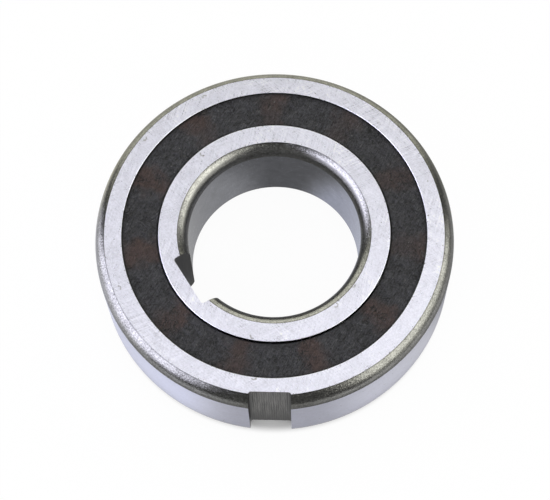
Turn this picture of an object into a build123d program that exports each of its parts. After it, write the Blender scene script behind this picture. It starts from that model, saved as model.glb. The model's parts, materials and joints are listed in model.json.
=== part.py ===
"""One-way ball bearing with sprags, 25 mm bore, modelled about its own centre.

Z is the axis of rotation, the ring faces lie at plus and minus half the width,
and the key slot of the outer ring points along -Y. Lengths are in millimetres,
angles in degrees.
"""

from build123d import *
from math import asin, cos, degrees, pi, radians, sin
import os

# Boundary sizes
bore_diameter = 25.0
outer_diameter = 52.0
ring_width = 15.0

# Rounded rim of the outer ring and rounded bore edge of the inner ring
rim_radial = 1.5
rim_axial = 2.3
bore_edge_radial = 1.5
bore_edge_axial = 1.8
corner_bulge = 0.35
edge_break = 0.15

# Key slot across the outer ring and keyway along the bore
slot_width = 6.0
slot_depth = 2.0
slot_angle = -90.0
keyway_width = 8.0
keyway_depth = 2.0
keyway_angle = -146.7
key_root_radius = 0.4

# Races, balls and their grooves. The inner ring's wall and the gap between the races
# are shares of the section from bore to outside, and as many balls go round as leave
# the sprag space between each two
inner_wall_share = 0.3111
race_gap_share = 0.3926
groove_depth = 0.525
sprag_space = 4.6
ball_play = 0.03
groove_conformity = 1.04
first_ball_angle = 26.8

# Dust shields, pressed into grooves of the outer ring
shield_recess = 0.3
shield_thickness = 0.9
shield_seat_depth = 0.5
shield_gap = 0.15

# Window cage with a flange at each end
cage_thickness = 1.6
cage_end_gap = 0.5
cage_rim_width = 0.9
cage_flange_height = 0.75
cage_web = 0.45
pocket_play = 0.1

# Sprags: two cam faces of one radius, set off to either side of the middle
cam_radius = 2.9
cam_offset = 0.2
cam_play = 0.03
sprag_end_play = 0.1
sprag_waist_depth = 0.5
sprag_edge_radius = 0.2

# Garter springs, drawn by the outer shape of their closed coils
spring_coil_diameter = 0.8
spring_coil_sides = 8
spring_seat_gap = 0.05
spring_notch_gap = 0.3

# Rings
bore_radius = bore_diameter / 2
outer_radius = outer_diameter / 2
half_width = ring_width / 2
section_height = outer_radius - bore_radius
race_gap = race_gap_share * section_height
inner_race_radius = bore_radius + inner_wall_share * section_height
outer_race_radius = inner_race_radius + race_gap
pitch_radius = (inner_race_radius + outer_race_radius) / 2
slot_floor_radius = outer_radius - slot_depth
keyway_floor_radius = bore_radius + keyway_depth

# Balls
ball_radius = race_gap / 2 + groove_depth
groove_radius = groove_conformity * ball_radius
groove_shift = groove_radius - ball_radius - ball_play
ball_count = int(2 * pi * pitch_radius / (2 * ball_radius + sprag_space))
ball_step = 360 / ball_count
ball_angles = [first_ball_angle + step * ball_step for step in range(ball_count)]
sprag_angles = [angle + ball_step / 2 for angle in ball_angles]

# Shields
shield_seat_radius = outer_race_radius + shield_seat_depth
shield_top = half_width - shield_recess
shield_bottom = shield_top - shield_thickness

# Cage
cage_inner_radius = pitch_radius - cage_thickness / 2
cage_outer_radius = pitch_radius + cage_thickness / 2
cage_flange_radius = cage_outer_radius + cage_flange_height
cage_half_length = shield_bottom - cage_end_gap
window_half_length = cage_half_length - cage_rim_width
pocket_radius = ball_radius + pocket_play
window_half_width = cage_inner_radius * radians(ball_step / 2) - pocket_radius - cage_web

# Sprags
sprag_half_length = window_half_length - sprag_end_play
sprag_half_width = window_half_width
sprag_waist = sprag_half_width - sprag_waist_depth
cam_center = race_gap / 2 - cam_play - cam_radius
cam_low = degrees(asin((sprag_half_width + cam_offset) / cam_radius))
cam_high = degrees(asin((sprag_half_width - cam_offset) / cam_radius))

# Springs
spring_coil_radius = spring_coil_diameter / 2
spring_radius = cage_outer_radius + spring_seat_gap + spring_coil_radius
spring_height = window_half_length - spring_seat_gap - spring_coil_radius
notch_floor = cage_outer_radius + spring_seat_gap - spring_notch_gap - pitch_radius
notch_start = spring_height - spring_coil_radius - spring_seat_gap
notch_length = sprag_half_length - notch_start


def outward(angle):
    """Direction that points away from the axis."""
    return Vector(cos(radians(angle)), sin(radians(angle)), 0)


def flat_plane(angle, height):
    """Plane through the axis, parallel to the ring faces, with X pointing outwards."""
    return Plane(origin=(0, 0, height), x_dir=outward(angle), z_dir=(0, 0, 1))


def wall_plane(angle):
    """Plane on the pitch circle that faces outwards, with Y along the axis."""
    return Plane(
        origin=outward(angle) * pitch_radius, x_dir=outward(angle + 90), z_dir=outward(angle)
    )


# Outer ring: ball groove, two shield grooves, rounded rim and the key slot
with BuildPart() as outer_ring:
    with BuildSketch(Plane.XZ):
        with BuildLine():
            inside = Polyline(
                (outer_radius, 0),
                (outer_race_radius, 0),
                (outer_race_radius, shield_bottom),
                (shield_seat_radius, shield_bottom),
                (shield_seat_radius, shield_top),
                (outer_race_radius, shield_top),
                (outer_race_radius, half_width - edge_break),
                (outer_race_radius + edge_break, half_width),
                (outer_radius - rim_radial, half_width),
            )
            rim = SagittaArc(inside @ 1, (outer_radius, half_width - rim_axial), corner_bulge)
            Line(rim @ 1, inside @ 0)
        make_face()
        mirror(about=Plane.XZ)
    revolve(axis=Axis.Z)
    with BuildSketch(Plane.XZ):
        with Locations((pitch_radius - groove_shift, 0)):
            Circle(groove_radius)
    revolve(axis=Axis.Z, mode=Mode.SUBTRACT)
    with BuildSketch(flat_plane(slot_angle, -half_width)) as slot:
        with Locations((slot_floor_radius, 0)):
            Rectangle(2 * slot_depth, slot_width, align=(Align.MIN, Align.CENTER))
        fillet(slot.vertices().sort_by(Axis.X)[:2], key_root_radius)
    extrude(amount=ring_width, mode=Mode.SUBTRACT)

# Inner ring: ball groove, rounded bore edges and the keyway
with BuildPart() as inner_ring:
    with BuildSketch(Plane.XZ):
        with BuildLine():
            outside = Polyline(
                (bore_radius, 0),
                (inner_race_radius, 0),
                (inner_race_radius, half_width - edge_break),
                (inner_race_radius - edge_break, half_width),
                (bore_radius + bore_edge_radial, half_width),
            )
            edge = SagittaArc(outside @ 1, (bore_radius, half_width - bore_edge_axial), -corner_bulge)
            Line(edge @ 1, outside @ 0)
        make_face()
        mirror(about=Plane.XZ)
    revolve(axis=Axis.Z)
    with BuildSketch(Plane.XZ):
        with Locations((pitch_radius + groove_shift, 0)):
            Circle(groove_radius)
    revolve(axis=Axis.Z, mode=Mode.SUBTRACT)
    with BuildSketch(flat_plane(keyway_angle, -half_width)) as keyway:
        Rectangle(keyway_floor_radius, keyway_width, align=(Align.MIN, Align.CENTER))
        fillet(keyway.vertices().sort_by(Axis.X)[-2:], key_root_radius)
    extrude(amount=ring_width, mode=Mode.SUBTRACT)

# Cage: a flanged tube with a round pocket for each ball and a window for each sprag
with BuildPart() as cage:
    with BuildSketch(Plane.XZ):
        with BuildLine():
            Polyline(
                (cage_inner_radius, 0),
                (cage_inner_radius, cage_half_length),
                (cage_flange_radius, cage_half_length),
                (cage_flange_radius, window_half_length),
                (cage_outer_radius, window_half_length),
                (cage_outer_radius, 0),
                close=True,
            )
        make_face()
        mirror(about=Plane.XZ)
    revolve(axis=Axis.Z)
    with BuildSketch(*[wall_plane(angle) for angle in ball_angles]):
        Circle(pocket_radius)
    with BuildSketch(*[wall_plane(angle) for angle in sprag_angles]):
        Rectangle(2 * window_half_width, 2 * window_half_length)
    extrude(amount=cage_thickness, both=True, mode=Mode.SUBTRACT)

os.makedirs("parts", exist_ok=True)
for name, piece in (("outer_ring", outer_ring), ("inner_ring", inner_ring), ("cage", cage)):
    piece.part.label = name
    export_step(piece.part, f"parts/{name}.step")

# Dust shields: flat washers held at their outer edge, clear of the inner ring
for name, height in (("shield_upper", shield_bottom), ("shield_lower", -shield_top)):
    with BuildPart() as shield:
        with BuildSketch(Plane.XY.offset(height)):
            Circle(shield_seat_radius)
            Circle(inner_race_radius + shield_gap, mode=Mode.SUBTRACT)
        extrude(amount=shield_thickness)
    shield.part.label = name
    export_step(shield.part, f"parts/{name}.step")

# Garter springs: they lie on the cage against its flanges and pull the sprags upright
for name, height in (("garter_spring_upper", spring_height), ("garter_spring_lower", -spring_height)):
    with BuildPart() as spring:
        with BuildSketch(Plane.XZ):
            with Locations((spring_radius, height)):
                RegularPolygon(spring_coil_radius, spring_coil_sides)
        revolve(axis=Axis.Z)
    spring.part.label = name
    export_step(spring.part, f"parts/{name}.step")

# Balls
for number, angle in enumerate(ball_angles, 1):
    with BuildPart() as ball:
        with Locations(outward(angle) * pitch_radius):
            Sphere(ball_radius)
    ball.part.label = f"ball_{number:02d}"
    export_step(ball.part, f"parts/{ball.part.label}.step")

# Sprags: waisted bars with two cam faces, stepped at both ends for the springs
for number, angle in enumerate(sprag_angles, 1):
    middle = flat_plane(angle, 0).shift_origin(outward(angle) * pitch_radius)
    with BuildPart() as sprag:
        with BuildSketch(middle) as section:
            with BuildLine():
                outer_cam = CenterArc((cam_center, cam_offset), cam_radius, -cam_low, cam_low + cam_high)
                inner_cam = CenterArc(
                    (-cam_center, -cam_offset), cam_radius, 180 - cam_low, cam_low + cam_high
                )
                ThreePointArc(outer_cam @ 1, (0, sprag_waist), inner_cam @ 0)
                ThreePointArc(inner_cam @ 1, (0, -sprag_waist), outer_cam @ 0)
            make_face()
            fillet(section.vertices(), sprag_edge_radius)
        extrude(amount=sprag_half_length, both=True)
        with BuildSketch(middle.offset(notch_start), middle.offset(-sprag_half_length)):
            with Locations((notch_floor, 0)):
                Rectangle(race_gap, 4 * sprag_half_width, align=(Align.MIN, Align.CENTER))
        extrude(amount=notch_length, mode=Mode.SUBTRACT)
    sprag.part.label = f"sprag_{number:02d}"
    export_step(sprag.part, f"parts/{sprag.part.label}.step")
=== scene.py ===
"""Looks of the one-way ball bearing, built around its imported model.

Lengths in the named values below are millimetres and angles degrees, both measured
from the bearing's own centre. Meshes are in metres.
"""

import json
from math import asin, atan2, cos, degrees, hypot, pi, radians, sin, sqrt, tan

import bmesh
import bpy
from mathutils import Matrix, Vector


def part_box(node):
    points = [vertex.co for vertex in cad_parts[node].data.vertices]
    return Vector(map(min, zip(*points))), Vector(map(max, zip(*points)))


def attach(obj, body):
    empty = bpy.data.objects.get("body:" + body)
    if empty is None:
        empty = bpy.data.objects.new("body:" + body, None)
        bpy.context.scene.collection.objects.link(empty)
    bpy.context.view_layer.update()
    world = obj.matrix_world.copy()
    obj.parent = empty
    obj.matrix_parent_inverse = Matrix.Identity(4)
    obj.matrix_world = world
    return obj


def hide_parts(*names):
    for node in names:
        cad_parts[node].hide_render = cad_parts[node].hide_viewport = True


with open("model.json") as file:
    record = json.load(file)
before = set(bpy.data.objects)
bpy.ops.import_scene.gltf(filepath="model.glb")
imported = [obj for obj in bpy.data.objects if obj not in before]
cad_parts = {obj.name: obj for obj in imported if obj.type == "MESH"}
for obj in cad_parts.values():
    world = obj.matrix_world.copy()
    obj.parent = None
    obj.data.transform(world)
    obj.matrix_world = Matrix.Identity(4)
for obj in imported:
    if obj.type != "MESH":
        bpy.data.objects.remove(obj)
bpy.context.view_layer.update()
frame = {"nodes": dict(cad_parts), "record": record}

MM = 0.001


# Sizes that the frame gives

def mount(name):
    """The record's mount of that name."""
    return next(m for m in frame["record"]["mounts"] if m["name"] == name)


def reach(node):
    """Half the node's width along X, its lowest and its highest point."""
    low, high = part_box(node)
    return (high.x - low.x) / 2 / MM, low.z / MM, high.z / MM


def middle(node):
    """Centre of the node's box, in millimetres."""
    low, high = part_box(node)
    return (low + high) / 2 / MM


outer_radius, ring_bottom, half_width = reach("outer_ring")
inner_race_radius = reach("inner_ring")[0]
bore_radius = mount("bore")["dims"]["r_mm"]
bore_edge_axial = half_width - mount("bore")["dims"]["length_mm"] / 2
rim_axial = half_width - mount("outside_diameter")["dims"]["length_mm"] / 2
shield_seat_radius, shield_bottom, shield_top = reach("shield_upper")
ball_numbers = [name[-2:] for name in sorted(frame["nodes"]) if name.startswith("ball_")]
ball_step = 360 / len(ball_numbers)
ball_bottom, ball_top = reach("ball_01")[1:]
ball_radius = (ball_top - ball_bottom) / 2
first_ball = middle("ball_01")
first_ball_angle = degrees(atan2(first_ball.y, first_ball.x))
pitch_radius = hypot(first_ball.x, first_ball.y)
outer_race_radius = 2 * pitch_radius - inner_race_radius

# Sizes of the rings' edges and grooves, the key slots and the shields' edges. A rounding
# has a support point just off each of its ends
rim_radial = 1.5
bore_edge_radial = 1.5
corner_bulge = 0.35
edge_radius = 0.04
mouth_radius = 0.05
arris_radius = 0.1
support = 0.03
groove_conformity = 1.04
ball_play = 0.03
slot_width = 6.0
slot_depth = 2.0
slot_angle = -90.0
keyway_width = 8.0
keyway_depth = 2.0
keyway_angle = -146.7
key_root_radius = 0.4
shield_gap = 0.15
shield_edge_radius = 0.2

# Radii that follow from them
rim_crest_radius = outer_radius - rim_radial
bore_crest_radius = bore_radius + bore_edge_radial
slot_floor_radius = outer_radius - slot_depth
keyway_floor_radius = bore_radius + keyway_depth
shield_bore_radius = inner_race_radius + shield_gap
groove_radius = groove_conformity * ball_radius
groove_shift = groove_radius - ball_radius - ball_play

# Where the finishes of a ring meet: the radii that the floor of a key slot lies between, and
# how far beyond a wall or a radius a face still counts as on it
slot_floor_zone = (slot_floor_radius - 0.3, slot_floor_radius + 0.6)
keyway_floor_zone = (keyway_floor_radius - 0.6, keyway_floor_radius + 1.2)
wall_margin = 0.02
radius_margin = 0.01

# What parts the finishes by a face's normal: its share along the axis, for upright faces,
# for mouths and for flat faces, and its share away from the axis, for the walls of key slots
upright_lean = 0.5
mouth_lean = 0.4
face_lean = 0.999
slot_wall_turn = 0.5
keyway_wall_turn = 0.8

# Marks in the key slot: the pitch of the cutter's lines, and the heights between which the
# painted shade at its lower end fades out
cutter_pitch = 0.33
slot_painted_shade_full_below = 0.2 - half_width
slot_painted_shade_gone_above = -0.5

# Broken edges and wound wire inside
merge_distance = 0.0005
flat_angle = 0.5
edge_angle = 35.0
edge_segments = 2
cage_edge = 0.08
sprag_edge = 0.06
wire_radius = 0.1
coil_pitch = 0.22
coil_steps = 8
wire_sides = 6

# Fineness of the pieces, and the distance below which two points are one
ring_steps = 720
arc_steps = 10
fillet_steps = 4
groove_steps = 16
ball_subdivisions = 5
smooth_angle = 30.0
weld_distance = 0.00001

# Floor: the share of even white that the camera sees on it, in the open and beside the key
# slot, where the rings shade it from notch_rim to floor_edge
floor_size = 4000.0
floor_white = (0.99, 0.99, 0.99)
camera_glow = 0.955
notch_glow = 0.02
notch_rim = 14.6
notch_soft = 1.0
floor_edge = (24.8, 26.2)

# Light on the floor that polished steel mirrors: under the bore, near the rings and further
# out than mirror_reach, with a darker band between two radii
bore_floor = 0.21
mirror_near = 0.40
mirror_level = 0.8
mirror_reach = (26.0, 36.0)
mirror_dip = (34.0, 41.0)
mirror_dip_soft = 5.0
mirror_dip_depth = 0.25

# Lights added to it, with the softness of their sides in degrees and of their two radii:
# (name, azimuth, half width, inner and outer radius, added light, its colour)
floor_light_turn = 12.0
floor_light_fade = 3.0
floor_lights = (
    ("left", -146.0, 34.0, 28.0, 30.0, 0.95, (0.95, 0.97, 1.06)),
    ("left_side", -160.0, 14.0, 29.4, 32.0, -0.35, (0.96, 0.98, 1.05)),
    ("front", -88.0, 24.0, 24.0, 30.0, 0.24, (1.0, 1.0, 1.0)),
    ("right", -40.0, 24.0, 28.0, 29.5, 0.66, (1.0, 1.0, 1.0)),
    ("right_side", -18.0, 14.0, 29.6, 32.0, -0.22, (1.0, 1.0, 1.0)),
    ("far_left", -145.0, 36.0, 42.0, 70.0, 0.70, (0.97, 0.98, 1.04)),
    ("far_side", 176.0, 28.0, 33.0, 60.0, 0.55, (0.95, 0.96, 1.06)),
    ("far_right", -37.0, 30.0, 42.0, 70.0, 0.55, (1.0, 1.0, 1.0)),
    ("corner", 48.0, 24.0, 30.0, 60.0, -0.25, (1.0, 0.99, 0.90)),
    ("back", 100.0, 60.0, 28.0, 60.0, 0.05, (1.0, 0.98, 0.84)),
    ("bore_left", 155.0, 49.0, 7.0, 13.0, 0.27, (1.0, 1.0, 1.0)),
    ("bore_right", 20.0, 46.0, 7.0, 13.0, 0.48, (0.93, 0.96, 1.10)),
)

# What polished steel sees around it: an overhead light between two angles from the zenith
# towards the back, with the softness of either side and its rise per degree to the right,
# and cards, each over the ones before it:
# (name, azimuth, half width, lowest and highest elevation, softness, colour)
horizon = (0.22, 0.22, 0.21)
overhead = (1.09, 1.09, 1.09)
overhead_tilt = (10.0, 19.5, 8.0, 12.0)
overhead_slope = 0.010
cards = (
    ("back", 93.5, 48.5, -30.0, 42.0, 6.0, (1.5, 1.5, 1.24)),
    ("back_high", 104.0, 36.0, 8.0, 44.0, 5.0, (2.1, 2.1, 1.88)),
    ("front", -90.0, 34.0, -90.0, 64.0, 8.0, (0.24, 0.24, 0.24)),
    ("above", -90.0, 60.0, 62.0, 90.0, 8.0, (0.12, 0.12, 0.12)),
    ("right", -15.0, 34.5, 6.0, 62.0, 5.5, (3.6, 3.6, 3.35)),
    ("right_low", -18.0, 27.0, -16.0, 0.0, 4.0, (0.55, 0.55, 0.52)),
    ("left", -171.0, 22.0, 2.0, 64.0, 8.0, (4.9, 4.9, 5.9)),
    ("left_near", -145.0, 16.0, 6.0, 52.0, 5.0, (4.9, 4.9, 5.9)),
    ("left_low", -172.0, 26.0, -24.0, -1.0, 4.0, (3.0, 3.0, 3.4)),
)

# Dome and strip that carry the cards
dome_radius = 1900.0
dome_steps = 60
dome_hole = 0.1
strip_radius = 70.0
strip_top = 6.0

# The camera, measured on the photograph
view_turn = 3.8
view_elevation = 69.24
view_roll = -2.47
view_lens = 111.42
view_sensor = 36.0
view_distance = 244.77
view_right = 0.126
view_up = -2.741
view_clip = 1.0


# Wiring of materials

class Wire:
    """A node tree, or one output socket in it that can be used in sums."""

    def __init__(self, tree, socket=None):
        self.tree = tree
        self.socket = socket

    def node(self, kind, settings=None, inputs=None, output=0):
        """A new node: its settings first, then the values or links of its sockets."""
        made = self.tree.nodes.new(kind)
        for name, value in (settings or {}).items():
            setattr(made, name, value)
        for name, value in (inputs or {}).items():
            feed(made.inputs[name], value)
        return Wire(self.tree, made.outputs[output]) if made.outputs else None

    def calc(self, operation, *values):
        """A Math node on this value and the others."""
        places = {place: value for place, value in enumerate((self, *values))}
        return self.node("ShaderNodeMath", {"operation": operation}, places)

    def __add__(self, other):
        return self.calc("ADD", other)

    __radd__ = __add__

    def __mul__(self, other):
        return self.calc("MULTIPLY", other)

    __rmul__ = __mul__

    def __sub__(self, other):
        return self.calc("SUBTRACT", other)

    def __rsub__(self, other):
        return self.node("ShaderNodeMath", {"operation": "SUBTRACT"}, {0: other, 1: self})

    def __truediv__(self, other):
        return self.calc("DIVIDE", other)

    def __rtruediv__(self, other):
        return self.node("ShaderNodeMath", {"operation": "DIVIDE"}, {0: other, 1: self})

    def __pow__(self, other):
        return self.calc("POWER", other)

    def __mod__(self, other):
        return self.calc("FLOORED_MODULO", other)


def feed(socket, value):
    """Gives a socket a value, a colour of three numbers or a link."""
    if isinstance(value, Wire):
        value.tree.links.new(value.socket, socket)
    elif socket.type == "RGBA":
        socket.default_value = (*value, 1)
    else:
        socket.default_value = value


def smooth(value, low, high):
    """0 below low, 1 above high and smooth between them."""
    settings = {"interpolation_type": "SMOOTHSTEP"}
    inputs = {"Value": value, "From Min": low, "From Max": high}
    return value.node("ShaderNodeMapRange", settings, inputs)


def swing(noise, size):
    """A noise from 0 to 1 as a change about zero, of that size from its lowest to its highest."""
    return (noise - 0.5) * size


def band(value, low, high, soft):
    """1 between low and high, fading out over soft on either side."""
    return smooth(value, low - soft, low) * (1 - smooth(value, high, high + soft))


def sector(azimuth, centre, inner, outer):
    """1 within the inner half width of an azimuth, fading out to the outer one."""
    aside = (azimuth + (540 - centre)) % 360 - 180
    return 1 - smooth(aside.calc("ABSOLUTE"), inner, outer)


def mix(share, first, second):
    """Colour between the first and the second."""
    colours = {0: share, 6: first, 7: second}
    wire = next(item for item in (share, first, second) if isinstance(item, Wire))
    return wire.node("ShaderNodeMix", {"data_type": "RGBA"}, colours, output=2)


def parts_of(place):
    """The x, y and z of a place."""
    return [place.node("ShaderNodeSeparateXYZ", inputs={0: place}, output=axis) for axis in range(3)]


def shade(colour, factor):
    """The colour times a number."""
    return factor.node("ShaderNodeVectorMath", {"operation": "SCALE"}, {0: colour, "Scale": factor})


class Surface:
    """A new material with the places on its piece in millimetres."""

    def __init__(self, name):
        self.material = bpy.data.materials.new(name)
        self.material.use_nodes = True
        self.wire = Wire(self.material.node_tree)
        self.shader = self.material.node_tree.nodes["Principled BSDF"]
        place = self.wire.node("ShaderNodeTexCoord", output=3)
        self.place = place.node("ShaderNodeMapping", inputs={"Vector": place, "Scale": (1 / MM,) * 3})
        self.x, self.y, self.z = parts_of(self.place)
        self.radius = (self.x * self.x + self.y * self.y) ** 0.5
        self.angle = self.y.calc("ARCTAN2", self.x)

    def stretched(self, along, across):
        """The place with its plan and its height shrunk by a length each."""
        scale = (1 / along, 1 / along, 1 / across)
        return self.wire.node("ShaderNodeMapping", inputs={"Vector": self.place, "Scale": scale})

    def noise(self, size, detail=3.0, rough=0.5, place=None, distortion=0.0):
        """Noise from 0 to 1 whose lumps are about size millimetres across."""
        inputs = {
            "Vector": place or self.place, "Scale": 1 / size, "Detail": detail,
            "Roughness": rough, "Distortion": distortion,
        }
        return self.wire.node("ShaderNodeTexNoise", inputs=inputs)

    def dots(self, spacing, size, share):
        """1 in round dots of about that size, in a share of the cells that far apart."""
        cells = {"Vector": self.place, "Scale": 1 / spacing, "Randomness": 1.0}
        distance = self.wire.node("ShaderNodeTexVoronoi", inputs=cells)
        chance = self.wire.node("ShaderNodeTexVoronoi", inputs=cells, output=1)
        pick = chance.node("ShaderNodeSeparateColor", inputs={0: chance})
        edge = size / spacing / 2
        return (1 - smooth(distance, edge * 0.5, edge)) * pick.calc("LESS_THAN", share)

    def dings(self, spacing, size, width, share):
        """1 in small open curls of about that size, in a share of the cells that far apart."""
        scale = {"operation": "SCALE"}
        scaled = self.wire.node("ShaderNodeVectorMath", scale, {0: self.place, "Scale": 1 / spacing})
        cells = {"Vector": scaled, "Scale": 1.0, "Randomness": 0.8}
        distance, pick, heart = (
            self.wire.node("ShaderNodeTexVoronoi", inputs=cells, output=output) for output in range(3)
        )
        distance = distance + swing(self.noise(size, 2.0), 0.12)
        chance, turn = (
            pick.node("ShaderNodeSeparateColor", inputs={0: pick}, output=part) for part in range(2)
        )
        aside = heart.node("ShaderNodeVectorMath", {"operation": "SUBTRACT"}, {0: scaled, 1: heart})
        x, y, _ = parts_of(aside)
        facing = (y.calc("ARCTAN2", x) + turn * (2 * pi)).calc("COSINE")
        curl = band(distance, (size / 2 - width) / spacing, size / 2 / spacing, width / spacing)
        return curl * smooth(facing, 0.0, 0.35) * chance.calc("LESS_THAN", share)

    def bump(self, height, depth):
        """Turns a height from 0 to 1, times a depth in millimetres, into the normal."""
        inputs = {"Height": height, "Distance": depth * MM, "Strength": 1.0}
        return self.wire.node("ShaderNodeBump", inputs=inputs)

    def finish(self, metallic=0.0, **wires):
        """Sets the shader's sockets and returns the material."""
        feed(self.shader.inputs["Metallic"], metallic)
        for name, value in wires.items():
            feed(self.shader.inputs[name.replace("_", " ").title()], value)
        return self.material


# Finishes of the rings

def hatch(surface, turn, width, length, detail=2.0):
    """Fine parallel scratches, turned by an angle in plan."""
    turned = surface.wire.node(
        "ShaderNodeMapping", inputs={"Vector": surface.place, "Rotation": (0, 0, radians(turn))}
    )
    drawn = turned.node("ShaderNodeMapping", inputs={"Vector": turned, "Scale": (1 / width, 1 / length, 1)})
    return surface.noise(1.0, detail=detail, rough=0.6, place=drawn)


def ground_face():
    """Ground end faces: bright, with crossing scratches, dark pits, curled dings and rough borders."""
    surface = Surface("ground_face")
    region = smooth(surface.noise(8.0, detail=1.0), 0.38, 0.62)
    strokes = hatch(surface, 14, 0.18, 2.2) * region + hatch(surface, 66, 0.17, 1.9) * (1 - region)
    crossing = strokes * 0.6 + hatch(surface, -46, 0.17, 1.5) * 0.4
    worked = 0.55 + smooth(surface.noise(5.0, detail=2.0), 0.42, 0.62) * 0.9
    cloud = surface.noise(2.6, detail=4.0, rough=0.6)
    broad = surface.noise(16.0, detail=1.0)
    grain = surface.noise(0.24, detail=2.0, rough=0.6)
    pits = surface.dots(1.1, 0.24, 0.15)
    dings = surface.dings(2.8, 0.80, 0.09, 0.26)
    inwards = 1.0
    for border in (bore_crest_radius, inner_race_radius, outer_race_radius, rim_crest_radius):
        inwards = smooth((surface.radius - border).calc("ABSOLUTE"), 0.12, 0.34) * inwards
    crumbs = surface.dots(0.36, 0.22, 0.34) * (1 - inwards)
    level = 0.94 + swing(crossing, 0.85) * worked + swing(cloud, 0.26) + swing(grain, 0.36)
    level = level + swing(broad, 0.2)
    clean = shade((0.86, 0.86, 0.96), level)
    colour = mix(pits * 0.8, clean, (0.20, 0.19, 0.17))
    colour = mix(dings * 0.6, colour, (0.32, 0.31, 0.28))
    colour = mix(crumbs * 0.75, colour, (0.16, 0.155, 0.14))
    height = crossing * worked + grain * 0.3 - pits * 1.5 - dings * 1.5
    return surface.finish(
        1.0, base_color=colour, roughness=0.30 + swing(crossing, 0.25), normal=surface.bump(height, 0.006)
    )


def hardened(name, colour, crest=None, foot=None, worn=None, speckle=0.25):
    """Rounded edges left dark from hardening: mottled, with pale specks and dark nicks.

    crest and foot are the radius and the height of the edge's two borders, both darker. With
    worn, the dark scale is rubbed off within that depth of the ring's face and lies thick
    below it.
    """
    surface = Surface(name)
    mottle = surface.noise(0.25, detail=4.0, rough=0.7)
    broad = surface.noise(2.6, detail=3.0)
    specks = surface.dots(0.42, 0.17, 0.22)
    nicks = surface.dots(0.37, 0.19, 0.20)
    level = 0.95 + swing(mottle, 2.6) + swing(broad, 0.7)
    metallic = 1.0
    from_middle = surface.z.calc("ABSOLUTE")
    if crest:
        off_crest = (surface.radius - crest).calc("ABSOLUTE")
        level = level * (1 - 0.45 * (1 - smooth(off_crest, 0.05, 0.18)))
    if foot:
        off_foot = (from_middle - foot).calc("ABSOLUTE")
        level = level * (1 - 0.3 * (1 - smooth(off_foot, 0.1, 0.5)))
    if worn:
        scale = smooth(half_width - from_middle + swing(mottle, 0.5), worn - 0.14, worn + 0.14)
        level = level * (1.28 - 0.70 * scale)
        metallic = 1 - 0.55 * scale
    mottled = mix(nicks * 0.6, shade(colour, level), (0.04, 0.04, 0.036))
    colour = mix(specks * speckle, mottled, (0.42, 0.42, 0.38))
    height = mottle + specks * 0.35 - nicks * 0.5
    return surface.finish(
        metallic, base_color=colour, roughness=0.07 + mottle * 0.12, normal=surface.bump(height, 0.030)
    )


def dark_rim():
    """Rounded rim of the outer ring."""
    return hardened(
        "hardened_rim", (0.169, 0.168, 0.160), crest=rim_crest_radius, foot=half_width - rim_axial
    )


def bore_edge():
    """Rounded edge of the bore."""
    return hardened(
        "hardened_bore_edge", (0.169, 0.168, 0.161), crest=bore_crest_radius, worn=0.44, speckle=0.4
    )


def ring_mouth():
    """Narrow edges of the rings at the shields."""
    return hardened("hardened_mouth", (0.165, 0.163, 0.152))


def ground_outside():
    """Ground outside diameter: satin, with fine lines round it and a few pits."""
    surface = Surface("ground_outside")
    lines = surface.noise(1.0, detail=3.0, place=surface.stretched(2.2, 0.2))
    cloud = surface.noise(1.6, detail=3.0)
    grain = surface.noise(0.26, detail=2.0)
    pits = surface.dots(1.0, 0.27, 0.30)
    level = 0.98 + swing(lines, 0.3) + swing(cloud, 0.16) + swing(grain, 0.3)
    colour = mix(pits * 0.8, shade((0.455, 0.462, 0.565), level), (0.12, 0.12, 0.11))
    height = lines + grain * 0.5 - pits
    return surface.finish(
        1.0, base_color=colour, roughness=0.27 + lines * 0.1, normal=surface.bump(height, 0.006)
    )


def milled_slot():
    """Milled key slot: dark, with cutter marks along the axis, and painted shade at its walls, at its ends
    and towards its lower end.

    The slot looks along -Y, so x runs across it.
    """
    surface = Surface("milled_slot")
    marks = surface.noise(1.0, detail=3.0, rough=0.7, place=surface.stretched(0.26, 5.0))
    ruled = (surface.x * (2 * pi / cutter_pitch) + surface.noise(2.0, detail=1.0) * 4).calc("SINE")
    broad = surface.noise(1.0, detail=1.0, place=surface.stretched(0.7, 6.0))
    grain = surface.noise(0.22, detail=3.0, rough=0.7)
    # Painted shade in the slot's corners at its two walls
    painted_wall_shade = smooth(surface.x.calc("ABSOLUTE"), slot_width / 2 - 0.50, slot_width / 2 - 0.14)
    # Painted shade near both ends of the slot, where it meets the faces
    end = smooth(surface.z.calc("ABSOLUTE"), half_width - 0.40, half_width - 0.05)
    # Painted shade towards the slot's lower end, down to 0.3 of the level at the bottom
    clear = 0.30 + 0.70 * smooth(surface.z, slot_painted_shade_full_below, slot_painted_shade_gone_above)
    level = 1.0 + ruled * 0.50 + swing(marks, 3.4) + swing(broad, 1.2) + swing(grain, 2.6)
    level = level * (1 - 0.95 * painted_wall_shade) * (1 - 0.7 * end) * clear
    return surface.finish(
        0.7, base_color=shade((0.092, 0.090, 0.085), level), roughness=0.40,
        normal=surface.bump(marks + ruled * 0.2, 0.03),
    )


def broached_keyway():
    """Broached keyway: flat dark grey with faint lines along the axis."""
    surface = Surface("broached_keyway")
    marks = surface.noise(1.0, detail=2.0, place=surface.stretched(0.25, 3.3))
    level = 0.95 + swing(marks, 0.5)
    return surface.finish(
        0.5, base_color=shade((0.085, 0.085, 0.088), level), roughness=0.4,
        normal=surface.bump(marks, 0.006),
    )


def honed_bore():
    """Honed bore wall: smooth dark grey."""
    surface = Surface("honed_bore")
    cloud = surface.noise(1.5, detail=4.0, rough=0.6)
    fine = surface.noise(0.3, detail=3.0)
    level = 0.98 + swing(cloud, 0.5) + swing(fine, 0.4)
    return surface.finish(
        1.0, base_color=shade((0.350, 0.358, 0.395), level), roughness=0.16 + cloud * 0.10,
        normal=surface.bump(fine, 0.004),
    )


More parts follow.
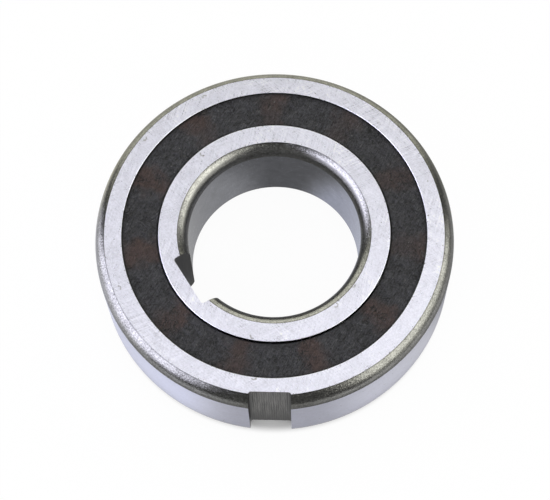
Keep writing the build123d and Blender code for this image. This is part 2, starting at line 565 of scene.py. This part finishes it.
def polished_race():
    """Races and the balls' grooves: finely ground, with a thin film of grease."""
    surface = Surface("polished_race")
    lines = surface.noise(1.0, detail=2.0, place=surface.stretched(5.0, 0.12))
    level = 0.95 + swing(lines, 0.1)
    return surface.finish(
        1.0, base_color=shade((0.62, 0.62, 0.64), level), roughness=0.16 + lines * 0.05,
        normal=surface.bump(lines, 0.001),
    )


# Finish of the shields

def moulded_shield(first_patch):
    """Dark nylon: creased and scuffed, with a rusty stain over each ball, painted shade along its two edges
    and in the creases, and painted highlights on the creases' edges and raised folds.
    """
    surface = Surface("moulded_shield")
    surface.shader.inputs["Specular IOR Level"].default_value = 0.18
    turn = surface.angle * (180 / pi) - first_patch
    around = (turn + ball_step / 2) % ball_step - ball_step / 2
    wobble = surface.noise(1.7, detail=4.0, rough=0.65)
    patch = 1 - smooth(around.calc("ABSOLUTE") + swing(wobble, 16), 1.0, 8.0)
    fade = smooth(surface.noise(7.0, detail=1.0), 0.34, 0.62)
    grain = surface.noise(0.26, detail=3.0, rough=0.7)
    folds = surface.noise(1.5, detail=5.0, rough=0.62, distortion=1.6)
    crease = surface.noise(2.2, detail=2.0, rough=0.5, distortion=2.4) - 0.5
    creased = smooth(surface.noise(3.3, detail=2.0), 0.50, 0.60)
    # Painted shade: a dark line down each crease, with a painted highlight along its edge
    painted_crease_shade = band(crease, -0.010, 0.010, 0.012) * creased
    painted_crease_highlight = band(crease, 0.026, 0.040, 0.010) * creased
    strokes = hatch(surface, 28, 0.14, 0.8, detail=3.0)
    # Pale scuff marks kept to the raised folds: partly real scuff marks, partly painted highlight
    scuffs_and_sheen = smooth(strokes, 0.60, 0.72) * smooth(folds, 0.46, 0.60)
    specks = surface.dots(0.55, 0.22, 0.13)
    # Painted shade along both edges: in the gap at the shield's bore and under the outer ring's edge
    border = 1 - smooth(surface.radius, shield_bore_radius, shield_bore_radius + 0.3)
    border = border + smooth(surface.radius, outer_race_radius - 0.4, outer_race_radius - 0.05)
    # The tone rises with the folds' height: painted light on raised folds and painted shade in their
    # hollows, over a random grain
    level = 0.95 + swing(grain, 3.0) + swing(strokes, 3.0) + swing(folds, 2.6)
    plain = shade((0.0300, 0.0300, 0.0332), level)
    stained = shade((0.0470, 0.0315, 0.0285), 0.95 + swing(grain, 2.0) + swing(strokes, 2.0))
    colour = mix(border * 0.85, mix(patch * (0.35 + fade * 0.75), plain, stained), (0.005, 0.005, 0.005))
    colour = mix(painted_crease_shade * 0.8, colour, (0.004, 0.004, 0.004))
    colour = mix(painted_crease_highlight * 0.5, colour, (0.075, 0.073, 0.072))
    colour = mix(scuffs_and_sheen * 0.6, colour, (0.105, 0.102, 0.100))
    # Pale dust specks, kept to the raised folds as painted glints
    colour = mix(specks * smooth(folds, 0.42, 0.58) * 0.8, colour, (0.17, 0.17, 0.16))
    height = folds * 1.4 + grain * 0.4 + specks * 0.4 + painted_crease_highlight * 0.4 - painted_crease_shade * 1.3
    return surface.finish(
        0.0, base_color=colour, roughness=0.42 + swing(grain, 0.3), normal=surface.bump(height, 0.25)
    )


# Finishes of the pieces inside

def moulded_cage():
    """Cage of natural polyamide: cream, faintly mottled, with an oily sheen."""
    surface = Surface("moulded_cage")
    cloud = surface.noise(1.5, detail=3.0)
    grain = surface.noise(0.18, detail=2.0)
    level = 0.95 + swing(cloud, 0.15) + swing(grain, 0.08)
    return surface.finish(
        0.0, base_color=shade((0.60, 0.52, 0.36), level), roughness=0.36 + cloud * 0.12,
        normal=surface.bump(grain, 0.01),
    )


def polished_ball():
    """Lapped bearing ball with a film of grease."""
    surface = Surface("polished_ball")
    smear = surface.noise(0.9, detail=3.0)
    scratches = hatch(surface, 35, 0.06, 1.6)
    level = 0.97 + swing(smear, 0.06)
    return surface.finish(
        1.0, base_color=shade((0.80, 0.80, 0.82), level), roughness=0.06 + smear * 0.06,
        normal=surface.bump(scratches, 0.0006),
    )


def ground_sprag():
    """Hardened sprag, ground on its cams."""
    surface = Surface("ground_sprag")
    marks = surface.noise(1.0, detail=2.0, place=surface.stretched(0.14, 3.3))
    level = 0.95 + swing(marks, 0.3)
    return surface.finish(
        1.0, base_color=shade((0.56, 0.55, 0.54), level), roughness=0.26 + marks * 0.12,
        normal=surface.bump(marks, 0.004),
    )


def drawn_wire():
    """Bright drawn spring wire."""
    surface = Surface("drawn_wire")
    grain = surface.noise(0.12, detail=2.0)
    level = 0.9 + swing(grain, 0.3)
    return surface.finish(
        1.0, base_color=shade((0.55, 0.55, 0.56), level), roughness=0.25 + grain * 0.1,
        normal=surface.bump(grain, 0.001),
    )


# Turned shapes

def arc(start, end, bulge):
    """Points of an arc between two (radius, height) points, left of the way if bulge > 0."""
    start, end = Vector(start), Vector(end)
    chord = end - start
    left = Vector((-chord.y, chord.x)).normalized()
    half = chord.length / 2
    radius = (half * half + bulge * bulge) / (2 * abs(bulge))
    side = 1 if bulge > 0 else -1
    centre = (start + end) / 2 - left * side * (radius - abs(bulge))
    first = (start - centre).angle_signed(Vector((1, 0)))
    sweep = 2 * asin(half / radius)
    points = []
    for step in range(arc_steps + 1):
        turn = first - side * sweep * step / arc_steps
        points.append(centre + Vector((cos(turn), sin(turn))) * radius)
    return points


def rounded(points, corners):
    """The open line of (radius, height) points with some corners rounded: {index: radius}.

    A point just off each end of a rounding keeps the flat beside it flat in its shading.
    """
    line = []
    for index, point in enumerate(points):
        point = Vector(point)
        if index not in corners:
            line.append(point)
            continue
        back = (Vector(points[index - 1]) - point).normalized()
        ahead = (Vector(points[index + 1]) - point).normalized()
        half = back.angle(ahead) / 2
        reach_back = corners[index] / tan(half)
        centre = point + (back + ahead).normalized() * corners[index] / sin(half)
        start = point + back * reach_back - centre
        turn = start.angle_signed(point + ahead * reach_back - centre)
        line.append(point + back * (reach_back + support))
        for step in range(fillet_steps + 1):
            share = -turn * step / fillet_steps
            line.append(centre + Matrix.Rotation(share, 2) @ start)
        line.append(point + ahead * (reach_back + support))
    return line


def revolve(name, line, closed=True):
    """Mesh object of a (radius, height) line turned about Z, faces outwards."""
    mesh = bpy.data.meshes.new(name)
    count = len(line)
    vertices, faces = [], []
    for step in range(ring_steps):
        turn = 2 * pi * step / ring_steps
        vertices += [(p[0] * cos(turn) * MM, p[0] * sin(turn) * MM, p[1] * MM) for p in line]
    for step in range(ring_steps):
        here, there = step * count, (step + 1) % ring_steps * count
        for index in range(count if closed else count - 1):
            after = (index + 1) % count
            faces.append((here + index, there + index, there + after, here + after))
    mesh.from_pydata(vertices, [], faces)
    piece = bpy.data.objects.new(name, mesh)
    bpy.context.scene.collection.objects.link(piece)
    outwards(piece)
    return piece


def outwards(piece):
    """Merges doubles and turns every face outwards."""
    shape = bmesh.new()
    shape.from_mesh(piece.data)
    bmesh.ops.remove_doubles(shape, verts=shape.verts, dist=weld_distance * MM)
    bmesh.ops.recalc_face_normals(shape, faces=shape.faces)
    shape.to_mesh(piece.data)
    shape.free()


def mirrored(upper):
    """The upper half of a section with its mirror image below, as one closed line."""
    lower = [Vector((point[0], -point[1])) for point in reversed(upper)]
    return list(upper) + [point for point in lower if abs(point[1]) > weld_distance]


def groove(centre_radius, land_radius, side):
    """Half of a ball groove's section from its deepest point to the land."""
    height = sqrt(groove_radius ** 2 - (land_radius - centre_radius) ** 2)
    sweep = asin(height / groove_radius)
    points = []
    for step in range(groove_steps + 1):
        turn = sweep * step / groove_steps
        deep = centre_radius + side * groove_radius * cos(turn)
        points.append(Vector((deep, groove_radius * sin(turn))))
    return points


def outer_section():
    """Upper half of the outer ring's section, from the ball groove to the outside."""
    race = groove(pitch_radius - groove_shift, outer_race_radius, 1)
    seat = rounded([
        race[-1],
        (outer_race_radius, shield_bottom),
        (shield_seat_radius, shield_bottom),
        (shield_seat_radius, shield_top),
        (outer_race_radius, shield_top),
        (outer_race_radius, half_width),
        (rim_crest_radius, half_width),
    ], {5: mouth_radius})
    rim = arc((rim_crest_radius, half_width), (outer_radius, half_width - rim_axial), corner_bulge)
    crest = rounded([seat[-2], rim[0], rim[1]], {1: edge_radius})[1:-2]
    foot = rounded([rim[-2], rim[-1], (outer_radius, 0)], {1: arris_radius})[2:]
    return race[:-1] + seat[:-1] + crest + rim[1:-1] + foot


def inner_section():
    """Upper half of the inner ring's section, from the ball groove to the bore."""
    race = groove(pitch_radius + groove_shift, inner_race_radius, -1)
    shoulder = rounded([
        race[-1],
        (inner_race_radius, half_width),
        (bore_crest_radius, half_width),
    ], {1: mouth_radius})
    edge = arc((bore_crest_radius, half_width), (bore_radius, half_width - bore_edge_axial), -corner_bulge)
    crest = rounded([shoulder[-2], edge[0], edge[1]], {1: edge_radius})[1:-2]
    foot = rounded([edge[-2], edge[-1], (bore_radius, 0)], {1: arris_radius})[2:]
    return race[:-1] + shoulder[:-1] + crest + edge[1:-1] + foot


def key_cutter(angle, floor, mouth, width):
    """Prism along the axis that cuts a key slot from its mouth to its floor, with rounded roots."""
    tall = 2 * half_width
    half = width / 2
    outline = rounded(
        [(mouth, -half), (floor, -half), (floor, half), (mouth, half)],
        {1: key_root_radius, 2: key_root_radius},
    )
    shape = bmesh.new()
    rings = []
    for height in (-tall, tall):
        rings.append([shape.verts.new((point[0] * MM, point[1] * MM, height * MM)) for point in outline])
    count = len(outline)
    for index in range(count):
        after = (index + 1) % count
        shape.faces.new((rings[0][index], rings[0][after], rings[1][after], rings[1][index]))
    shape.faces.new(rings[0])
    shape.faces.new(rings[1])
    bmesh.ops.rotate(shape, verts=shape.verts, matrix=Matrix.Rotation(radians(angle), 3, "Z"))
    bmesh.ops.recalc_face_normals(shape, faces=shape.faces)
    mesh = bpy.data.meshes.new("key_cutter")
    shape.to_mesh(mesh)
    shape.free()
    cutter = bpy.data.objects.new("key_cutter", mesh)
    bpy.context.scene.collection.objects.link(cutter)
    return cutter


def apply_modifiers(piece):
    """Replaces the piece's mesh by the one that its modifiers make."""
    bpy.context.view_layer.update()
    ready = piece.evaluated_get(bpy.context.evaluated_depsgraph_get())
    mesh = bpy.data.meshes.new_from_object(ready)
    piece.modifiers.clear()
    piece.data = mesh


def cut(piece, cutter):
    """Takes the cutter's shape out of the piece."""
    modifier = piece.modifiers.new("key", "BOOLEAN")
    modifier.operation = "DIFFERENCE"
    modifier.solver = "EXACT"
    modifier.object = cutter
    apply_modifiers(piece)
    bpy.data.objects.remove(cutter)


def dress(piece, materials, choose):
    """Gives the piece its materials, one to each face by choose(centre, normal, radius)."""
    for material in materials.values():
        piece.data.materials.append(material)
    names = list(materials)
    for face in piece.data.polygons:
        centre = face.center / MM
        face.material_index = names.index(choose(centre, face.normal, hypot(centre.x, centre.y)))


def soften(piece):
    """Smooth shading, with edges over the smooth angle left sharp."""
    piece.data.shade_smooth()
    piece.data.set_sharp_from_angle(angle=radians(smooth_angle))


def in_key(centre, normal, angle, width):
    """Whether a face is upright and lies on or between the two walls of a key slot."""
    along = Vector((cos(radians(angle)), sin(radians(angle))))
    flat = Vector((centre.x, centre.y))
    aside = abs(flat.x * along.y - flat.y * along.x)
    return abs(normal.z) < upright_lean and flat.dot(along) > 0 and aside < width / 2 + wall_margin


def turned_out(centre, normal):
    """How much of a face's direction in plan points away from the axis or towards it, from 0 to 1."""
    outward = Vector((centre.x, centre.y)).normalized()
    return abs(outward.dot(Vector((normal.x, normal.y)).normalized()))


def outer_zone(centre, normal, radius):
    """Finish of a face of the outer ring."""
    lowest, highest = slot_floor_zone
    if in_key(centre, normal, slot_angle, slot_width) and radius > lowest:
        if turned_out(centre, normal) < slot_wall_turn or radius < highest:
            return "slot"
    if radius < outer_race_radius + radius_margin and abs(centre.z) < shield_bottom:
        return "race"
    if radius > rim_crest_radius - edge_radius and abs(normal.z) < face_lean:
        return "outside" if abs(centre.z) < half_width - rim_axial else "rim"
    if radius < shield_seat_radius + radius_margin and abs(normal.z) < mouth_lean:
        return "mouth"
    return "face" if abs(centre.z) > half_width - mouth_radius else "race"


def inner_zone(centre, normal, radius):
    """Finish of a face of the inner ring."""
    lowest, highest = keyway_floor_zone
    if in_key(centre, normal, keyway_angle, keyway_width) and radius < highest:
        if turned_out(centre, normal) < keyway_wall_turn or radius > lowest:
            return "keyway"
    if radius < bore_crest_radius + edge_radius and abs(normal.z) < face_lean:
        return "bore" if abs(centre.z) < half_width - bore_edge_axial else "edge"
    if abs(centre.z) > half_width - mouth_radius and abs(normal.z) > mouth_lean:
        return "face"
    return "mouth" if abs(centre.z) > shield_bottom else "race"


# Pieces

def make_outer_ring():
    """The outer ring with its key slot."""
    piece = revolve("outer_ring_turned", mirrored(outer_section()))
    cut(piece, key_cutter(slot_angle, slot_floor_radius, outer_radius + slot_depth, slot_width))
    dress(piece, {
        "face": ground_face(), "rim": dark_rim(), "outside": ground_outside(),
        "slot": milled_slot(), "race": polished_race(), "mouth": ring_mouth(),
    }, outer_zone)
    soften(piece)
    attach(piece, "outer")
    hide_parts("outer_ring")


def make_inner_ring():
    """The inner ring with its keyway."""
    piece = revolve("inner_ring_turned", mirrored(inner_section()))
    cut(piece, key_cutter(keyway_angle, keyway_floor_radius, 0, keyway_width))
    dress(piece, {
        "face": ground_face(), "edge": bore_edge(), "bore": honed_bore(),
        "keyway": broached_keyway(), "race": polished_race(), "mouth": ring_mouth(),
    }, inner_zone)
    soften(piece)
    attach(piece, "inner")
    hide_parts("inner_ring")


def make_shields():
    """Both dust shields, pressed into the outer ring."""
    material = moulded_shield(first_ball_angle)
    for name in ("shield_upper", "shield_lower"):
        seat, bottom, top = reach(name)
        line = rounded([
            (seat, (bottom + top) / 2),
            (seat, top),
            (shield_bore_radius, top),
            (shield_bore_radius, bottom),
            (seat, bottom),
            (seat, (bottom + top) / 2),
        ], {2: shield_edge_radius, 3: shield_edge_radius})
        piece = revolve(name + "_moulded", line[:-1])
        piece.data.materials.append(material)
        soften(piece)
        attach(piece, "outer")
        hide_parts(name)


def refined(node, name, edge, body, material):
    """A copy of the node with its edges broken and its round faces smooth, in its place."""
    piece = bpy.data.objects.new(name, frame["nodes"][node].data.copy())
    bpy.context.scene.collection.objects.link(piece)
    shape = bmesh.new()
    shape.from_mesh(piece.data)
    bmesh.ops.remove_doubles(shape, verts=shape.verts, dist=merge_distance * MM)
    bmesh.ops.dissolve_limit(shape, angle_limit=radians(flat_angle), verts=shape.verts, edges=shape.edges)
    shape.to_mesh(piece.data)
    shape.free()
    modifier = piece.modifiers.new("broken_edges", "BEVEL")
    modifier.width = edge * MM
    modifier.segments = edge_segments
    modifier.limit_method = "ANGLE"
    modifier.angle_limit = radians(edge_angle)
    apply_modifiers(piece)
    piece.data.materials.clear()
    piece.data.materials.append(material)
    soften(piece)
    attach(piece, body)
    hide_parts(node)


def make_cage():
    """The moulded window cage."""
    refined("cage", "cage_moulded", cage_edge, "cage_set", moulded_cage())


def make_sprags():
    """The sprags between the balls, each on its own pivot."""
    material = ground_sprag()
    for number in ball_numbers:
        name = "sprag_" + number
        refined(name, name + "_ground", sprag_edge, name, material)


def make_balls():
    """The balls, each rolling as a body of its own."""
    material = polished_ball()
    for number in ball_numbers:
        mesh = bpy.data.meshes.new("ball_" + number + "_lapped")
        shape = bmesh.new()
        place = Matrix.Translation(middle("ball_" + number) * MM)
        bmesh.ops.create_icosphere(
            shape, subdivisions=ball_subdivisions, radius=ball_radius * MM, matrix=place
        )
        shape.to_mesh(mesh)
        shape.free()
        piece = bpy.data.objects.new(mesh.name, mesh)
        bpy.context.scene.collection.objects.link(piece)
        mesh.materials.append(material)
        mesh.shade_smooth()
        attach(piece, "ball_" + number)
        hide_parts("ball_" + number)


class Tree:
    """A Geometry Nodes tree with named inputs."""

    def __init__(self, name, inputs):
        self.tree = bpy.data.node_groups.new(name, "GeometryNodeTree")
        self.tree.interface.new_socket("Geometry", in_out="OUTPUT", socket_type="NodeSocketGeometry")
        for title, kind in inputs.items():
            self.tree.interface.new_socket(title, in_out="INPUT", socket_type="NodeSocket" + kind)
        self.start = self.tree.nodes.new("NodeGroupInput")
        self.end = self.tree.nodes.new("NodeGroupOutput")

    def input(self, title):
        """One of the tree's inputs."""
        return Wire(self.tree, self.start.outputs[title])

    def node(self, kind, settings=None, inputs=None, output=0):
        """A new node in the tree."""
        return Wire(self.tree).node(kind, settings, inputs, output)

    def grow(self, name, values):
        """A plain mesh object of what the tree makes with these values."""
        piece = bpy.data.objects.new(name, bpy.data.meshes.new(name))
        bpy.context.scene.collection.objects.link(piece)
        modifier = piece.modifiers.new("shape", "NODES")
        modifier.node_group = self.tree
        for item in self.tree.interface.items_tree:
            if item.in_out == "INPUT" and item.name in values:
                modifier[item.identifier] = values[item.name]
        apply_modifiers(piece)
        return piece


def coil_tree():
    """A closed coil of wire whose own axis is a ring round Z."""
    tree = Tree("garter_coil", {
        "Ring Radius": "Float", "Coil Radius": "Float", "Wire Radius": "Float", "Height": "Float",
        "Turns": "Int", "Steps per Turn": "Int", "Wire Sides": "Int", "Wire": "Material",
    })
    steps = tree.input("Turns") * tree.input("Steps per Turn")
    ring = tree.node("GeometryNodeCurvePrimitiveCircle", inputs={
        "Resolution": steps, "Radius": tree.input("Ring Radius"),
    })
    turn = tree.node("GeometryNodeInputIndex") / tree.input("Steps per Turn") * (2 * pi)
    outward = tree.node(
        "ShaderNodeVectorMath", {"operation": "NORMALIZE"}, {0: tree.node("GeometryNodeInputPosition")}
    )
    sideways = tree.node(
        "ShaderNodeVectorMath", {"operation": "SCALE"},
        {0: outward, "Scale": turn.calc("COSINE") * tree.input("Coil Radius")},
    )
    upwards = tree.node("ShaderNodeCombineXYZ", inputs={
        "Z": turn.calc("SINE") * tree.input("Coil Radius") + tree.input("Height"),
    })
    shift = tree.node("ShaderNodeVectorMath", {"operation": "ADD"}, {0: sideways, 1: upwards})
    coil = tree.node("GeometryNodeSetPosition", inputs={"Geometry": ring, "Offset": shift})
    section = tree.node("GeometryNodeCurvePrimitiveCircle", inputs={
        "Resolution": tree.input("Wire Sides"), "Radius": tree.input("Wire Radius"),
    })
    wire = tree.node("GeometryNodeCurveToMesh", inputs={"Curve": coil, "Profile Curve": section})
    smooth_wire = tree.node("GeometryNodeSetShadeSmooth", inputs={"Geometry": wire})
    plain = tree.node("GeometryNodeRealizeInstances", inputs={"Geometry": smooth_wire})
    made = tree.node("GeometryNodeSetMaterial", inputs={
        "Geometry": plain, "Material": tree.input("Wire"),
    })
    feed(tree.end.inputs["Geometry"], made)
    return tree


def make_springs():
    """Both garter springs as wound wire."""
    tree = coil_tree()
    material = drawn_wire()
    for name in ("garter_spring_upper", "garter_spring_lower"):
        outside, low, high = reach(name)
        coil_radius = (high - low) / 2
        ring_radius = outside - coil_radius
        piece = tree.grow(name + "_wound", {
            "Ring Radius": ring_radius * MM, "Coil Radius": (coil_radius - wire_radius) * MM,
            "Wire Radius": wire_radius * MM, "Height": (low + high) / 2 * MM,
            "Turns": round(2 * pi * ring_radius / coil_pitch), "Steps per Turn": coil_steps,
            "Wire Sides": wire_sides, "Wire": material,
        })
        outwards(piece)
        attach(piece, "cage_set")
        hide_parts(name)


make_outer_ring()
make_inner_ring()
make_shields()
make_cage()
make_sprags()
make_balls()
make_springs()


# Floor and light

def turned_sheet(name, line):
    """A thin turned sheet that only reflections see."""
    piece = revolve(name, line, closed=False)
    for kind in ("camera", "diffuse", "transmission", "volume_scatter", "shadow"):
        setattr(piece, "visible_" + kind, False)
    return piece


def card_light():
    """Light of the cards, by the direction in which they stand."""
    material = bpy.data.materials.new("studio_cards")
    material.use_nodes = True
    material.cycles.emission_sampling = "NONE"
    tree = material.node_tree
    tree.nodes.clear()
    wire = Wire(tree)
    place = wire.node("ShaderNodeTexCoord", output=3)
    x, y, z = parts_of(place)
    azimuth = y.calc("ARCTAN2", x) * (180 / pi)
    elevation = z.calc("ARCTAN2", (x * x + y * y) ** 0.5) * (180 / pi)
    tilt = y.calc("ARCTAN2", z) * (180 / pi)
    aside = x.calc("ARCTAN2", z) * (180 / pi)
    first, last, before, after = overhead_tilt
    lit = smooth(tilt, first - before, first) * (1 - smooth(tilt, last, last + after))
    colour = mix(lit, horizon, shade(overhead, 1 + aside * overhead_slope))
    for _, centre, half, low, high, soft, light in cards:
        across = sector(azimuth, centre, half - soft / 2, half + soft)
        colour = mix(across * band(elevation, low, high, soft), colour, light)
    glow = wire.node("ShaderNodeEmission", inputs={"Color": colour, "Strength": 1.0})
    wire.node("ShaderNodeOutputMaterial", inputs={"Surface": glow})
    return material


def make_cards():
    """A dome of cards far away and a low strip of them round the object."""
    material = card_light()
    turns = [pi / 2 * step / dome_steps for step in range(dome_steps)]
    dome = [Vector((cos(turn), sin(turn))) * dome_radius for turn in turns]
    for name, line in (
        ("card_dome", dome + [Vector((dome_hole, dome_radius))]),
        ("card_strip", [(strip_radius, ring_bottom), (strip_radius, strip_top)]),
    ):
        turned_sheet(name, line).data.materials.append(material)


def make_floor():
    """A white floor that keeps a faint shadow, and glows with painted light and shade that only mirrored
    and refracted rays see.
    """
    bpy.ops.mesh.primitive_plane_add(size=floor_size * MM, location=(0, 0, ring_bottom * MM))
    floor = bpy.context.object
    floor.name = "floor"
    material = bpy.data.materials.new("white_floor")
    material.use_nodes = True
    tree = material.node_tree
    tree.nodes.clear()
    wire = Wire(tree)
    place = wire.node("ShaderNodeTexCoord", output=3)
    x, y, _ = (part / MM for part in parts_of(place))
    radius = (x * x + y * y) ** 0.5
    azimuth = y.calc("ARCTAN2", x) * (180 / pi)
    open_floor = 1 - smooth(radius, notch_rim, notch_rim + notch_soft) * (1 - smooth(radius, *floor_edge))
    seen, glossy, through = (
        wire.node("ShaderNodeLightPath", output="Is " + ray + " Ray")
        for ray in ("Camera", "Glossy", "Transmission")
    )
    camera_share = seen * (notch_glow + open_floor * (camera_glow - notch_glow))
    mirrored_share = glossy.calc("MAXIMUM", through)
    lit = mirror_near + smooth(radius, *mirror_reach) * (mirror_level - mirror_near)
    lit = lit - band(radius, *mirror_dip, mirror_dip_soft) * mirror_dip_depth
    inside = 1 - smooth(radius, bore_radius, notch_rim)
    lit = lit * (1 - inside) + inside * bore_floor
    tint = (1, 1, 1)
    for _, centre, half, inner, outer, added, colour in floor_lights:
        share = sector(azimuth, centre, half - floor_light_turn, half + floor_light_turn)
        share = share * band(radius, inner, outer, floor_light_fade)
        lit = lit + share * added
        tint = mix(share, tint, colour)
    level = 1 + mirrored_share * (lit - 1)
    tint = mix(mirrored_share, (1, 1, 1), tint)
    matt = wire.node("ShaderNodeBsdfDiffuse", inputs={"Color": floor_white})
    bright = wire.node("ShaderNodeEmission", inputs={"Color": tint, "Strength": level})
    share = camera_share + mirrored_share
    mixed = wire.node("ShaderNodeMixShader", inputs={0: share, 1: matt, 2: bright})
    wire.node("ShaderNodeOutputMaterial", inputs={"Surface": mixed})
    floor.data.materials.append(material)


def make_world():
    """Even white light from all round."""
    world = bpy.data.worlds.new("studio")
    bpy.context.scene.world = world
    world.use_nodes = True
    background = world.node_tree.nodes["Background"]
    feed(background.inputs["Color"], (1, 1, 1))
    feed(background.inputs["Strength"], 1.0)


def make_camera():
    """The camera at the photograph's angle."""
    height = radians(view_elevation)
    turn = Matrix.Rotation(radians(view_turn), 3, "Z")
    back = turn @ Vector((0, -cos(height), sin(height)))
    right = turn @ Vector((1, 0, 0))
    up = back.cross(right)
    roll = radians(view_roll)
    camera_x = right * cos(roll) + up * sin(roll)
    camera_y = up * cos(roll) - right * sin(roll)
    aimed = Vector((0, 0, half_width)) + camera_x * view_right + camera_y * view_up
    axes = Matrix((camera_x, camera_y, back)).transposed().to_4x4()
    data = bpy.data.cameras.new("camera")
    data.sensor_width = view_sensor
    data.lens = view_lens
    data.clip_start = view_clip * MM
    camera = bpy.data.objects.new("camera", data)
    camera.matrix_world = Matrix.Translation((aimed + back * view_distance) * MM) @ axes
    bpy.context.scene.collection.objects.link(camera)
    bpy.context.scene.camera = camera


make_floor()
make_cards()
make_world()
make_camera()
bpy.context.scene.view_settings.view_transform = "Standard"
